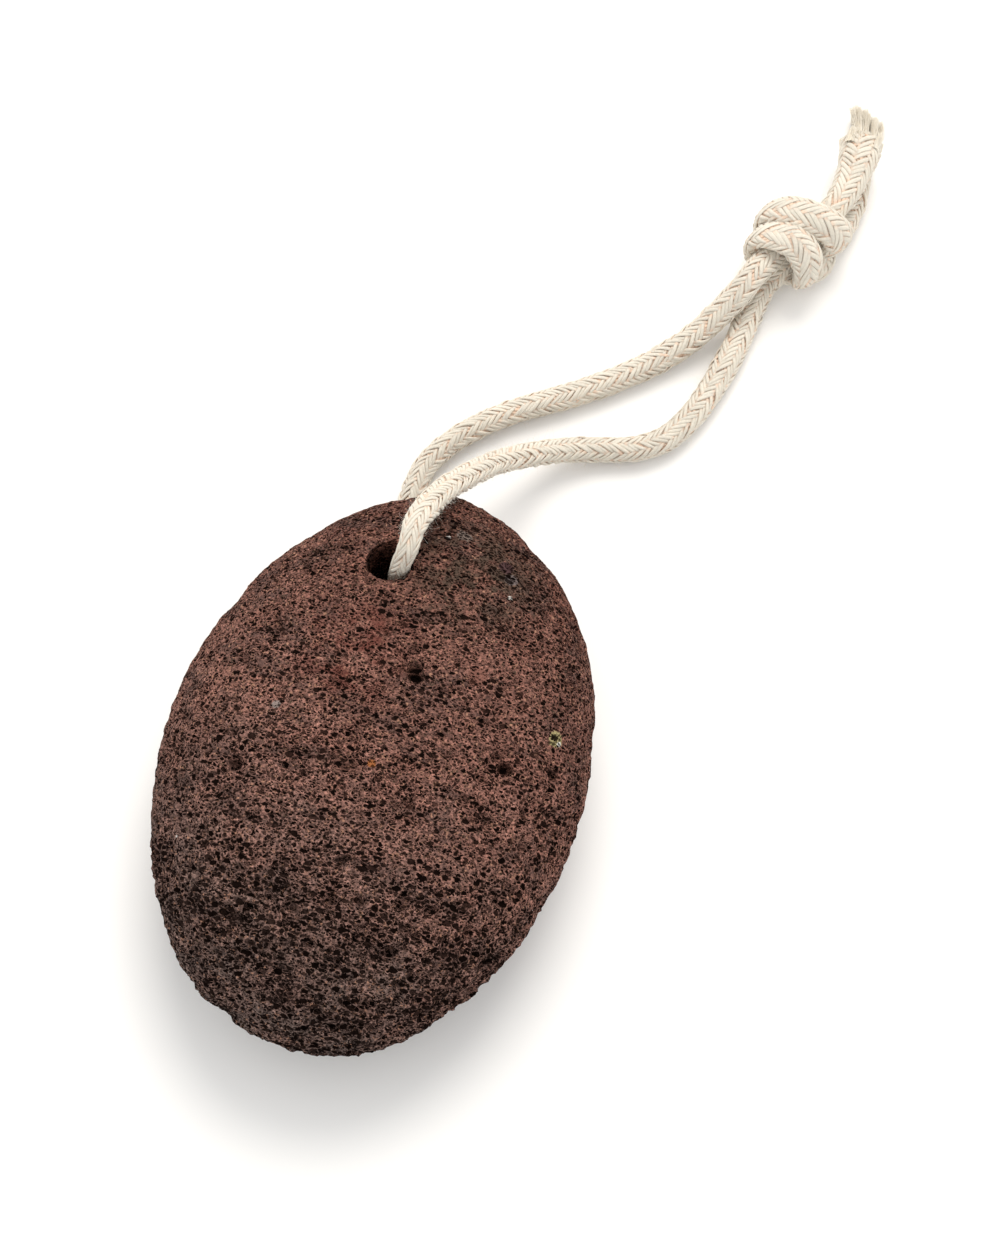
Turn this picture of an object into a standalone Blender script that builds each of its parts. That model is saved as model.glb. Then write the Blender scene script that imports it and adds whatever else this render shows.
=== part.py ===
"""Pumice foot stone on a loop of cotton cord, in metres, +Z up.

The stone rests on the flat of its underside, with its long axis along Y and its cord hole near the
+Y end. The cord goes down through the hole, comes back under the stone's end, and both strands run
over the table to an overhand knot tied in them together, past which their two ends stick out.
"""

import bmesh
import bpy
import numpy as np
from mathutils import Vector

MM = 0.001

# Stone: an oval pebble, and where its centre plane lies above the table.
HALF_WIDTH = 34.0 * MM
HALF_LENGTH = 47.5 * MM
HALF_THICKNESS = 18.5 * MM
FLAT_DEPTH = 1.0 * MM
CENTRE_HEIGHT = HALF_THICKNESS - FLAT_DEPTH
PROFILE_POWER = 2.15
GRID_CELLS = 20
ROUGHNESS = 0.15 * MM
GRID_JITTER = 0.012

# Broad lumps and hollows: place on the stone, how far each reaches, and its height.
LUMPS = (
    ((-6, 38, -12), 11, -2.0),
    ((20, 22, 14), 14, 0.7),
    ((-22, 14, 12), 13, -0.6),
    ((-16, -26, 13), 15, 0.6),
    ((12, -20, 17), 13, -0.5),
    ((25, -12, -12), 14, -0.7),
    ((-24, -10, -12), 14, 0.6),
    ((6, 4, 19), 12, -0.4),
)
# Chips along the rim and pits on the faces: place, radius and depth.
CHIPS = (
    ((23, -34, 1), 3.4, 1.3),
    ((28, -29, 1), 3.0, 1.2),
    ((34, -14, 1), 3.2, 1.1),
    ((34, 1, 2), 2.6, 0.9),
    ((32, 15, 1), 2.8, 0.9),
    ((-30, 20, 3), 2.6, 0.6),
    ((14, 43, 2), 2.8, 0.7),
    ((-33, -12, -2), 3.0, 0.8),
    ((-10, -45, 0), 3.2, 0.8),
    ((-3, -2, 19), 2.6, 1.5),
    ((-20, -10, 15), 2.8, 1.2),
    ((2, 16, 17), 2.6, 1.4),
    ((21, 3, 15), 2.6, 1.2),
    ((28, -2, 9), 2.8, 1.2),
    ((-8, -30, 14), 3.0, 1.1),
    ((12, -33, 12), 2.8, 1.2),
    ((-14, 8, -17), 3.0, 1.4),
    ((10, -6, -18), 2.8, 1.3),
    ((16, 20, -14), 3.2, 1.4),
    ((-12, -26, -14), 3.0, 1.3),
    ((22, -22, -11), 2.8, 1.3),
)
PORE_FREE_HEIGHT = 3.0 * MM
PORE_SIZES = ((70, 0.75 * MM, 0.9 * MM), (80, 0.55 * MM, 1.1 * MM), (50, 0.35 * MM, 1.4 * MM))

# Cord hole, drilled straight down, a little worn at its mouths.
HOLE_X = -6.8 * MM
HOLE_Y = 30.1 * MM
HOLE_RADIUS = 3.7 * MM
HOLE_SIDES = 24
HOLE_PROFILE = ((-25, 5.6), (-14.5, 5.0), (-11.5, 4.1), (-8, 3.7), (12, 3.7), (15.5, 4.0), (25, 4.4))

# Cord, as heights above the table: out of the knot, along the table, over the stone's end, down
# through the hole, back under the stone and along the table to the knot again.
CORD_RADIUS = 2.4 * MM
CORD_POINTS = 70
CORD_ROUTE = (
    (34.6, 108.6, 3.0),
    (33.9, 103.5, 2.6),
    (33.4, 97.5, 2.5),
    (32.2, 90.0, 2.5),
    (30.4, 83.0, 2.5),
    (27.4, 76.8, 2.5),
    (23.0, 73.0, 2.5),
    (17.5, 70.9, 2.7),
    (11.5, 68.2, 4.3),
    (6.4, 64.0, 8.2),
    (2.2, 58.6, 14.0),
    (-0.6, 52.6, 20.6),
    (-2.6, 46.6, 27.0),
    (-3.7, 41.2, 32.0),
    (-4.4, 36.2, 35.2),
    (-5.1, 32.1, 35.6),
    (-5.7, 29.9, 32.4),
    (-6.0, 29.6, 27.0),
    (-6.5, 29.9, 18.0),
    (-6.9, 30.0, 10.0),
    (-7.3, 31.3, 5.1),
    (-8.0, 34.6, 2.8),
    (-9.2, 39.5, 2.5),
    (-10.6, 47.0, 2.5),
    (-11.2, 54.0, 2.5),
    (-10.4, 59.8, 2.5),
    (-6.6, 66.2, 2.5),
    (-0.9, 71.9, 2.5),
    (4.8, 76.1, 2.5),
    (10.6, 80.2, 2.5),
    (16.2, 84.8, 2.5),
    (21.0, 89.4, 2.6),
    (25.4, 94.6, 3.3),
    (28.6, 99.3, 5.2),
    (31.2, 103.6, 7.4),
    (33.0, 107.8, 8.6),
)

# Knot: its middle, the way its two ends leave, and its two visible turns. Each turn leans, so it
# stands further along the knot on one side than on the other, and bulges along it over the top.
KNOT_CENTRE = Vector((38.1, 116.5, 7.2)) * MM
KNOT_ALONG = Vector((0.50, 0.866, 0.0))
KNOT_ACROSS = Vector((-0.866, 0.50, 0.0))
TURN_HALF_WIDTH = 5.7 * MM
TURN_HALF_HEIGHT = 4.7 * MM
TURN_POINTS = 28
TURNS = ((2.4, -2.7, 0.6), (-3.2, -1.3, 1.4))
KNOT_CORE = (6.4 * MM, 6.0 * MM, 5.0 * MM)
ENTRY = ((-8.2, 0.6, -1.6), (-5.5, 0.6, -1.2), (0.0, 0.4, -0.6))
END_ROUTES = (
    ((0.0, 0.0, 0.0), (5.0, -0.8, -0.4), (9.5, 0.2, -1.6), (14.0, 1.8, -2.9), (19.0, 4.6, -4.2), (22.5, 7.2, -4.4)),
    ((0.0, 0.0, 1.0), (5.0, -2.4, 1.2), (9.5, -2.6, 0.4), (15.0, -0.4, -1.6), (22.0, 4.0, -3.6), (31.0, 8.6, -4.2)),
)
END_RADIUS = 2.2 * MM
KNOT_VOXEL = 0.75 * MM
KNOT_KEEP = 0.29


def clear_scene():
    for obj in list(bpy.data.objects):
        bpy.data.objects.remove(obj)


def material(name, colour, roughness):
    made = bpy.data.materials.new(name)
    made.use_nodes = True
    shader = made.node_tree.nodes["Principled BSDF"]
    shader.inputs["Base Color"].default_value = (*colour, 1.0)
    shader.inputs["Roughness"].default_value = roughness
    shader.inputs["Metallic"].default_value = 0.0
    return made


def new_object(name, mesh, finish):
    obj = bpy.data.objects.new(name, mesh)
    bpy.context.scene.collection.objects.link(obj)
    obj.data.materials.append(finish)
    return obj


def pebble(direction):
    """The pebble's surface point along each unit direction from its centre: an ellipse in plan, whose
    radius and the height, each to PROFILE_POWER, add up to one, with soft lumps and small dents."""
    plan = np.hypot(direction[:, 0] / HALF_WIDTH, direction[:, 1] / HALF_LENGTH)
    tall = np.abs(direction[:, 2] / HALF_THICKNESS)
    reach = (plan**PROFILE_POWER + tall**PROFILE_POWER) ** (-1 / PROFILE_POWER)
    points = direction * reach[:, None]
    shift = np.zeros(len(points))
    for place, spread, height in LUMPS:
        away = np.linalg.norm(points - np.array(place) * MM, axis=1)
        shift += height * MM * np.exp(-((away / (spread * MM)) ** 2))
    for place, radius, depth in CHIPS:
        away = np.linalg.norm(points - np.array(place) * MM, axis=1)
        shift -= depth * MM * np.exp(-((away / (radius * MM)) ** 4))
    return points + direction * shift[:, None]


def stone_mesh():
    """A cube grid pushed out onto the pebble and roughened, flat where it would pass below the table,
    with pores sunk into some of its faces."""
    mesh = bmesh.new()
    bmesh.ops.create_cube(mesh, size=2.0)
    bmesh.ops.subdivide_edges(mesh, edges=mesh.edges, cuts=GRID_CELLS - 1, use_grid_fill=True)
    mesh.verts.ensure_lookup_table()
    cube = np.array([v.co for v in mesh.verts])
    evened = np.tan(cube * np.pi / 4)
    evened *= np.array([HALF_WIDTH, HALF_LENGTH, HALF_THICKNESS * 1.25])
    rng = np.random.default_rng(5)
    direction = evened / np.linalg.norm(evened, axis=1)[:, None]
    direction += rng.normal(0.0, GRID_JITTER, direction.shape)
    points = pebble(direction / np.linalg.norm(direction, axis=1)[:, None])
    points += rng.normal(0.0, ROUGHNESS, points.shape)
    points[:, :2] -= (points.min(axis=0) + points.max(axis=0))[:2] / 2
    points[:, 2] = np.maximum(points[:, 2] + CENTRE_HEIGHT, 0.0)
    for vert, point in zip(mesh.verts, points):
        vert.co = point
    sink_pores(mesh, rng)
    bmesh.ops.recalc_face_normals(mesh, faces=mesh.faces)
    made = bpy.data.meshes.new("pumice_stone")
    mesh.to_mesh(made)
    mesh.free()
    return made


def sink_pores(mesh, rng):
    """Open pores: faces picked so that no two share a corner, each inset and pushed inwards, in a
    few sizes."""
    mesh.faces.ensure_lookup_table()
    taken = set()
    hole = Vector((HOLE_X, HOLE_Y))
    chosen = []
    for index in rng.permutation(len(mesh.faces)):
        face = mesh.faces[int(index)]
        middle = face.calc_center_median()
        near_hole = (middle.to_2d() - hole).length < 2 * HOLE_RADIUS
        near_floor = middle.z < PORE_FREE_HEIGHT
        if near_hole or near_floor or any(v.index in taken for v in face.verts):
            continue
        taken.update(v.index for v in face.verts)
        chosen.append(face)
    for count, inset, depth in PORE_SIZES:
        sunk, chosen = chosen[:count], chosen[count:]
        bmesh.ops.inset_individual(mesh, faces=sunk, thickness=inset, depth=-depth)


def hole_cutter():
    """A turned cutter along the hole: its profile's heights are measured from the stone's centre."""
    turn = np.linspace(0, 2 * np.pi, HOLE_SIDES, endpoint=False)
    cutter = bmesh.new()
    rings = []
    for height, radius in HOLE_PROFILE:
        ring = []
        for angle in turn:
            x = HOLE_X + radius * MM * np.cos(angle)
            y = HOLE_Y + radius * MM * np.sin(angle)
            ring.append(cutter.verts.new((x, y, CENTRE_HEIGHT + height * MM)))
        rings.append(ring)
    for lower, upper in zip(rings, rings[1:]):
        for i in range(HOLE_SIDES):
            j = (i + 1) % HOLE_SIDES
            cutter.faces.new((lower[i], lower[j], upper[j], upper[i]))
    cutter.faces.new(rings[0][::-1])
    cutter.faces.new(rings[-1])
    bmesh.ops.recalc_face_normals(cutter, faces=cutter.faces)
    made = bpy.data.meshes.new("cord_hole_cutter")
    cutter.to_mesh(made)
    cutter.free()
    obj = bpy.data.objects.new("cord_hole_cutter", made)
    bpy.context.scene.collection.objects.link(obj)
    obj.hide_render = True
    obj.display_type = "WIRE"
    return obj


def make_stone():
    finish = material("vesicular lava stone", (0.085, 0.042, 0.034), 0.95)
    stone = new_object("pumice_stone", stone_mesh(), finish)
    cut = stone.modifiers.new("cord hole", "BOOLEAN")
    cut.operation = "DIFFERENCE"
    cut.solver = "EXACT"
    cut.object = hole_cutter()


def smooth_route(route, count):
    """Points at even distances along the smooth curve through the route: between two of its points a
    cubic runs whose slope at each is that of the line between its neighbours."""
    knots = np.array(route, float) * MM
    before = np.vstack([2 * knots[0] - knots[1], knots, 2 * knots[-1] - knots[-2]])
    a, b, c, d = before[:-3], before[1:-2], before[2:-1], before[3:]
    t = np.linspace(0, 1, 24, endpoint=False)[None, :, None]
    a, b, c, d = (p[:, None, :] for p in (a, b, c, d))
    curve = b + 0.5 * t * (c - a + t * (2 * a - 5 * b + 4 * c - d + t * (3 * (b - c) + d - a)))
    curve = np.vstack([curve.reshape(-1, 3), knots[-1:]])
    steps = np.linalg.norm(np.diff(curve, axis=0), axis=1)
    along = np.concatenate([[0], np.cumsum(steps)])
    even = np.linspace(0, along[-1], count)
    return np.column_stack([np.interp(even, along, curve[:, i]) for i in range(3)])


def cord_curve(name, points, radius, closed=False):
    curve = bpy.data.curves.new(name, "CURVE")
    curve.dimensions = "3D"
    curve.bevel_depth = radius
    curve.bevel_resolution = 3
    curve.use_fill_caps = True
    spline = curve.splines.new("POLY")
    spline.points.add(len(points) - 1)
    spline.use_cyclic_u = closed
    for point, place in zip(spline.points, points):
        point.co = (*place, 1.0)
    return curve


def knot_place(point):
    """A point given along, across and above the knot's middle, in millimetres, as a world place."""
    along, across, up = (value * MM for value in point)
    return KNOT_CENTRE + KNOT_ALONG * along + KNOT_ACROSS * across + Vector((0, 0, up))


def turn_points(middle, lean, bulge):
    """One turn of cord round the knot: an ellipse across it, leaning along it from side to side."""
    angles = np.linspace(0, 2 * np.pi, TURN_POINTS, endpoint=False)
    along = middle + lean * np.cos(angles) + bulge * np.sin(angles)
    across = TURN_HALF_WIDTH / MM * np.cos(angles)
    up = TURN_HALF_HEIGHT / MM * np.sin(angles)
    return [knot_place(point) for point in zip(along, across, up)]


def knot_core(mesh):
    """The packed inside of the knot, an ellipsoid that the turns lie round."""
    made = bmesh.ops.create_icosphere(mesh, subdivisions=3, radius=1.0)
    for vert in made["verts"]:
        vert.co = knot_place([value * half / MM for value, half in zip(vert.co, KNOT_CORE)])


def make_knot(finish):
    """The turns, the strands that enter and the two ends, overlapped and then made one surface."""
    pieces = [cord_curve("turn", turn_points(*turn), CORD_RADIUS, closed=True) for turn in TURNS]
    pieces.append(cord_curve("entry", [knot_place(p) for p in ENTRY], CORD_RADIUS))
    for route in END_ROUTES:
        lifted = [knot_place(p) / MM for p in route]
        pieces.append(cord_curve("end", smooth_route(lifted, 14), END_RADIUS))
    joined = bmesh.new()
    knot_core(joined)
    for curve in pieces:
        helper = bpy.data.objects.new("helper", curve)
        mesh = bpy.data.meshes.new_from_object(helper)
        joined.from_mesh(mesh)
        bpy.data.objects.remove(helper)
    made = bpy.data.meshes.new("cord_knot")
    joined.to_mesh(made)
    joined.free()
    knot = new_object("cord_knot", made, finish)
    remesh = knot.modifiers.new("one surface", "REMESH")
    remesh.mode = "VOXEL"
    remesh.voxel_size = KNOT_VOXEL
    fewer = knot.modifiers.new("fewer faces", "DECIMATE")
    fewer.ratio = KNOT_KEEP


def make_cord():
    finish = material("braided cotton cord", (0.74, 0.66, 0.54), 0.9)
    curve = cord_curve("cord_loop", smooth_route(CORD_ROUTE, CORD_POINTS), CORD_RADIUS)
    new_object("cord_loop", curve, finish)
    make_knot(finish)


def main():
    clear_scene()
    make_stone()
    make_cord()


main()
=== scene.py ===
"""The looks of a pumice foot stone on a loop of braided cotton cord.

Laid out as a Blender add-on and run as a script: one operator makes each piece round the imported
model, which holds the sizes. Lengths are in metres, and MM turns millimetres into them.
"""

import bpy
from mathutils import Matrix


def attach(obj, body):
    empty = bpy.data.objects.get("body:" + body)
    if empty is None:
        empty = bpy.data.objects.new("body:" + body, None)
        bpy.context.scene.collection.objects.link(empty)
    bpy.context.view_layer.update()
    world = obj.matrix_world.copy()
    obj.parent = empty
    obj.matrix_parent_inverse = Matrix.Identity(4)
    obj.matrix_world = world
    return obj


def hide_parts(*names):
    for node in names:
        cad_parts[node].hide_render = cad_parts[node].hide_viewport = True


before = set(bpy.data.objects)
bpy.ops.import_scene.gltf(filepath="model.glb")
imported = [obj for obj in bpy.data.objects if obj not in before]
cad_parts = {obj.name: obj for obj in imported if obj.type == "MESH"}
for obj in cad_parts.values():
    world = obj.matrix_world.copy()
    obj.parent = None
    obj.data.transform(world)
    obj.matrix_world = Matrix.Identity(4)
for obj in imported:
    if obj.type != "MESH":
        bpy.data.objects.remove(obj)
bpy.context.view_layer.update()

import bpy
import numpy as np
from mathutils import Vector

bl_info = {
    "name": "Pumice stone on a cord",
    "version": (1, 0, 0),
    "blender": (4, 5, 0),
    "location": "View3D > Sidebar > Pumice",
    "description": "Makes a porous lava foot stone, its braided cotton cord and a studio floor",
    "category": "Add Mesh",
}

MM = 0.001
BODY = "root"

# The pebble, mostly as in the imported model, in millimetres from its middle. A lump is a place, how
# far it spreads and its height; the last nine only fit the outline closer. A chip is a place, its
# radius and its depth.
HALF = np.array([34.0, 47.5, 18.5]) * MM
FLAT_DEPTH = 1.0 * MM
CENTRE_HEIGHT = HALF[2] - FLAT_DEPTH
PROFILE_POWER = 2.15
LUMPS = (
    ((-6, 38, -12), 11, -2.0), ((20, 22, 14), 14, 0.7), ((-22, 14, 12), 13, -0.6),
    ((-16, -26, 13), 15, 0.6), ((12, -20, 17), 13, -0.5), ((25, -12, -12), 14, -0.7),
    ((-24, -10, -12), 14, 0.6), ((6, 4, 19), 12, -0.4), ((-2, 47, 3), 6, 1.1),
    ((22, 36, 4), 8, -0.3), ((-22, 35, 4), 9, -0.8), ((-33, 5, 2), 10, 0.3),
    ((-31, -16, -3), 9, -0.4), ((-25, -32, -3), 8, -0.6), ((-16, -44, -3), 7, -0.3),
    ((-3, -47, -3), 9, -0.8), ((30, -12, 0), 9, 0.4),
)
CHIPS = (
    ((24.5, -35, -4), 3.6, 1.4), ((28, -29, 1), 3.0, 1.2), ((34, -14, 1), 3.2, 1.1),
    ((34, 1, 2), 2.6, 0.9), ((34.5, -4, -3), 2.4, 0.8), ((32, 15, 1), 2.8, 0.9),
    ((-30, 20, 3), 2.6, 0.6), ((14, 43, 2), 2.8, 0.7), ((-33, -12, -2), 3.0, 0.8),
    ((-10, -45, 0), 3.2, 0.8), ((-3, -2, 19), 2.6, 1.5), ((-20, -10, 15), 2.8, 1.2),
    ((2, 16, 17), 2.6, 1.4), ((21, 3, 15), 2.6, 1.2), ((28, -2, 9), 2.8, 1.2),
    ((-8, -30, 14), 3.0, 1.1), ((12, -33, 12), 2.8, 1.2), ((-14, 8, -17), 3.0, 1.4),
    ((10, -6, -18), 2.8, 1.3), ((16, 20, -14), 3.2, 1.4), ((-12, -26, -14), 3.0, 1.3),
    ((22, -22, -11), 2.8, 1.3),
)
HOLE = np.array([-6.8, 30.1]) * MM
# Height above the pebble's middle and radius there, in millimetres: the mouths are worn wider. The
# cutter has HOLE_SIDES round it and a row each HOLE_ROW.
HOLE_PROFILE = ((-25, 5.4), (-14.5, 4.8), (-11.5, 4.0), (-8, 3.7), (12, 3.7), (15.5, 3.8), (25, 4.2))
HOLE_SIDES, HOLE_ROW = 64, 0.5

# The cord's route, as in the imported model, in millimetres.
CORD_ROUTE = (
    (37.1, 112.8, 5.2), (35.7, 110.7, 3.7), (34.6, 108.6, 3.0), (33.9, 103.5, 2.6),
    (33.4, 97.5, 2.5), (32.2, 90.0, 2.5), (30.4, 83.0, 2.5), (27.4, 76.8, 2.5), (23.0, 73.0, 2.5),
    (17.5, 70.9, 2.7), (11.5, 68.2, 4.3), (6.4, 64.0, 8.2), (2.2, 58.6, 14.0), (-0.6, 52.6, 20.6),
    (-2.6, 46.6, 27.0), (-3.7, 41.2, 32.0), (-4.4, 36.2, 35.2), (-4.2, 32.1, 35.2),
    (-4.8, 29.9, 32.0), (-5.3, 29.6, 27.0), (-6.2, 29.9, 18.0), (-6.9, 30.0, 10.0),
    (-7.3, 31.3, 5.1), (-8.0, 34.6, 2.8), (-9.2, 39.5, 2.5), (-10.6, 47.0, 2.5), (-11.2, 54.0, 2.5),
    (-10.4, 59.8, 2.5), (-6.6, 66.2, 2.5), (-0.9, 71.9, 2.5), (4.8, 76.1, 2.5), (10.6, 80.2, 2.5),
    (16.2, 84.8, 2.5), (21.0, 89.4, 2.6), (25.4, 94.6, 3.3), (28.6, 99.3, 5.2), (31.2, 103.6, 7.4),
    (33.0, 107.8, 8.6), (34.4, 111.0, 8.2), (35.6, 113.9, 7.6),
)

# The knot's middle, and the ways along the cord and across it there. No thread or fibre lies lower
# than its clearance.
KNOT_CENTRE = np.array([38.1, 116.5, 7.2])
KNOT_ALONG = np.array([0.50, 0.866, 0.0])
KNOT_ACROSS = np.array([-0.866, 0.50, 0.0])
KNOT_CLEARANCE, FIBRE_CLEARANCE = 0.1 * MM, 0.02 * MM


def linear(hex_colour):
    """An sRGB colour such as #6b4a40 as linear red, green, blue and alpha."""
    parts = np.array([int(hex_colour[i : i + 2], 16) for i in (1, 3, 5)]) / 255
    low, high = parts / 12.92, ((parts + 0.055) / 1.055) ** 2.4
    return (*np.where(parts <= 0.04045, low, high).tolist(), 1.0)


SMOOTH = {"interpolation_type": "SMOOTHSTEP"}
# Light spreads as far in each colour, because uneven distances turn threads this thin blue.
EVEN_SPREAD = (1.0, 1.0, 1.0)


def fill(tree, node, **given):
    """Sets a node up. Each name given is a setting of the node, or one of its inputs by name, with _
    for a space, or by number, as i0. An input takes a plain value, a socket to link, or a node whose
    first output is linked."""
    for name, value in given.items():
        if hasattr(node, name):
            setattr(node, name, value)
            continue
        socket = node.inputs[int(name[1:]) if name[1:].isdigit() else name.replace("_", " ")]
        if isinstance(value, bpy.types.Node):
            value = value.outputs[0]
        if isinstance(value, bpy.types.NodeSocket):
            tree.links.new(value, socket)
        else:
            socket.default_value = value
    return node


def add(tree, kind, **given):
    """Adds a shader node, set up as fill says."""
    return fill(tree, tree.nodes.new("ShaderNode" + kind), **given)


def new_material(name):
    """A material, its node tree and its shader."""
    made = bpy.data.materials.new(name)
    made.use_nodes = True
    return made, made.node_tree, made.node_tree.nodes["Principled BSDF"]


def mesh_object(name, points, faces, finish, smooth=True, **attributes):
    """A mesh from whole arrays: faces is (count, 3 or 4), and each attribute one number a point."""
    mesh = bpy.data.meshes.new(name)
    mesh.from_pydata(points.tolist(), [], faces.tolist())
    for key, values in attributes.items():
        layer = mesh.attributes.new(key, "FLOAT", "POINT")
        layer.data.foreach_set("value", values.astype(np.float32))
    mesh.polygons.foreach_set("use_smooth", np.full(len(mesh.polygons), smooth))
    mesh.materials.append(finish)
    obj = bpy.data.objects.new(name, mesh)
    bpy.context.scene.collection.objects.link(obj)
    return obj


# Stage


LOOK_AT = (0.0109, 0.0326, 0.010)
LIGHT_MIDDLE = (0.01, 0.03, 0.0)
# The soft box stands behind the knot: degrees from the view, degrees up, distance and width.
BOX_TURN, BOX_ELEVATION, BOX_DISTANCE, BOX_SIZE = 168, 55, 1.3, 0.85
FLOOR_HALF = 1.5


def look_from(azimuth, elevation, target, distance):
    """Where to stand to look at target, and the turn that looks there: azimuth 0 looks along +Y, and
    elevation is upwards."""
    a, e = np.radians(azimuth), np.radians(elevation)
    back = np.array([np.sin(a) * np.cos(e), -np.cos(a) * np.cos(e), np.sin(e)])
    return Vector(np.array(target) + back * distance), Vector(back).to_track_quat("Z", "Y")


def soft_box(azimuth, power):
    """The one light: a round soft box that faces the middle of the table."""
    data = bpy.data.lights.new("soft box", "AREA")
    data.shape = "DISK"
    data.size = BOX_SIZE
    data.energy = power
    data.color = linear("#fffaf3")[:3]
    light = bpy.data.objects.new("soft box", data)
    bpy.context.scene.collection.objects.link(light)
    light.location, turn = look_from(azimuth, BOX_ELEVATION, LIGHT_MIDDLE, BOX_DISTANCE)
    light.rotation_euler = turn.to_euler()


class StageSettings(bpy.types.PropertyGroup):
    elevation: bpy.props.FloatProperty(
        name="Camera elevation", description="Degrees of the view above the table", default=70.0
    )
    azimuth: bpy.props.FloatProperty(
        name="Camera azimuth", description="Direction of the view; 0 looks along +Y", default=17.66
    )
    distance: bpy.props.FloatProperty(
        name="Camera distance", description="From the lens to the middle", default=0.574, unit="LENGTH"
    )
    lens: bpy.props.FloatProperty(name="Lens", description="Focal length in millimetres", default=100.0)
    key_power: bpy.props.FloatProperty(
        name="Key light", description="Power of the soft box above the far end, in watts", default=10.6
    )
    fill_light: bpy.props.FloatProperty(
        name="Surround", description="Strength of the white surround", default=1.0
    )


class PUMICE_OT_stage(bpy.types.Operator):
    """Make the pale floor, the soft studio light and the camera."""

    bl_idname = "pumice.stage"
    bl_label = "Studio floor, light and camera"

    def execute(self, context):
        settings = context.scene.pumice_stage
        camera = bpy.data.objects.new("camera", bpy.data.cameras.new("camera"))
        context.scene.collection.objects.link(camera)
        camera.data.lens = settings.lens
        view = settings.azimuth, settings.elevation, LOOK_AT, settings.distance
        camera.location, turn = look_from(*view)
        camera.rotation_euler = turn.to_euler()
        context.scene.camera = camera
        context.scene.view_settings.view_transform = "Standard"
        world = bpy.data.worlds.new("white surround")
        world.use_nodes = True
        surround = world.node_tree.nodes["Background"]
        fill(world.node_tree, surround, Color=linear("#ffffff"), Strength=settings.fill_light)
        context.scene.world = world
        soft_box(settings.azimuth + BOX_TURN, settings.key_power)
        # Matt white paper, which takes a soft shadow.
        finish, tree, shader = new_material("white paper sweep")
        fill(tree, shader, Base_Color=linear("#f7f6f4"), Roughness=0.9)
        corners = np.array([(-1, -1, 0), (1, -1, 0), (1, 1, 0), (-1, 1, 0)]) * FLOOR_HALF
        floor = mesh_object("floor", corners, np.array([[0, 1, 2, 3]]), finish)
        return {"FINISHED"}


# Cord


POINTS_BETWEEN = 24


def smooth_route(route, step):
    """Points at even distances along the smooth curve through the route, which is in millimetres:
    between two of its points a cubic runs whose slope at each is that of the line between its
    neighbours."""
    knots = np.array(route, float) * MM
    padded = np.vstack([2 * knots[0] - knots[1], knots, 2 * knots[-1] - knots[-2]])
    t = np.linspace(0, 1, POINTS_BETWEEN, endpoint=False)[None, :, None]
    a, b, c, d = (padded[i : len(padded) - 3 + i, None, :] for i in range(4))
    curve = b + 0.5 * t * (c - a + t * (2 * a - 5 * b + 4 * c - d + t * (3 * (b - c) + d - a)))
    curve = np.vstack([curve.reshape(-1, 3), knots[-1:]])
    return resample(curve, step)


def resample(curve, step):
    """The same line with its points a step apart."""
    along = np.concatenate([[0], np.cumsum(np.linalg.norm(np.diff(curve, axis=0), axis=1))])
    even = np.linspace(0, along[-1], int(round(along[-1] / step)) + 1)
    return np.column_stack([np.interp(even, along, curve[:, i]) for i in range(3)])


def carried_frames(path):
    """Tangent, side and up vectors carried along a path, each turned from the last by no more than
    the path turns, so that nothing twists round it."""
    tangent = np.gradient(path, axis=0)
    tangent /= np.linalg.norm(tangent, axis=1)[:, None]
    side = np.zeros_like(path)
    start = np.cross(tangent[0], (0.0, 0.0, 1.0))
    side[0] = start / np.linalg.norm(start)
    for i in range(1, len(path)):
        carried = side[i - 1] - tangent[i] * (side[i - 1] @ tangent[i])
        side[i] = carried / np.linalg.norm(carried)
    return tangent, side, np.cross(tangent, side)


def tube_faces(rows, columns, first=0):
    """Quads of a grid of rows round which columns of points run, closed across its columns."""
    r, c = np.meshgrid(np.arange(rows - 1), np.arange(columns), indexing="ij")
    here, beside = r * columns + c, r * columns + (c + 1) % columns
    quads = np.stack([here, beside, beside + columns, here + columns], -1)
    return quads.reshape(-1, 4) + first


# The columns keep one side of the cord up, the way it was laid down; the middle seam lies SPINE
# round from there. A braid's turns take it further round, from one value to the other, over
# HIDDEN_SHARES of the path, which lie in the stone.
UPPER_SIDE = np.array([0.10, -0.33, 0.94])
SPINE = np.radians(-16)
HIDDEN_SHARES = (0.40, 0.52)
YARNS = 8
COLUMNS_ROUND = 8
# A yarn is a pair of threads, at these shares of its width from its middle; the second lies lower.
THREAD_OFFSETS = (-0.20, 0.26)
THREAD_DROPS = (0.0, 0.07 * MM)
THREAD_SIDES = 6
THREAD_FLATNESS = 0.48
THREAD_THICKNESS = (0.94, 1.08)
# How far a yarn dives under the others, how square the wave is on which it does, and how much lower each
# millimetre of its drop makes a thread ride, for its painted shade.
DIVE = 0.16 * MM
WAVE_SQUARENESS = 1.5
DROP_SHADE = 5
# How far a yarn strays aside, and each of its threads aside and up, between bends this far apart.
YARN_SWAY, THREAD_SWAY, THREAD_RISE = 0.12 * MM, 0.09 * MM, 0.08 * MM
BEND_LENGTH, FEWEST_BENDS = 2.2 * MM, 8
# The core: how far it lies inside the braid, and how high it counts as riding, for its painted shade, there
# and in the rows that close its cut ends. Deep in the braid it takes the full painted gap shade, but its cut
# ends do not.
CORE_SIDES = 16
CORE_INSIDE = 0.50 * MM
CORE_RIDE, CUT_RIDE, CUT_ROWS = -1.6, 0.6, 3


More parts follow.
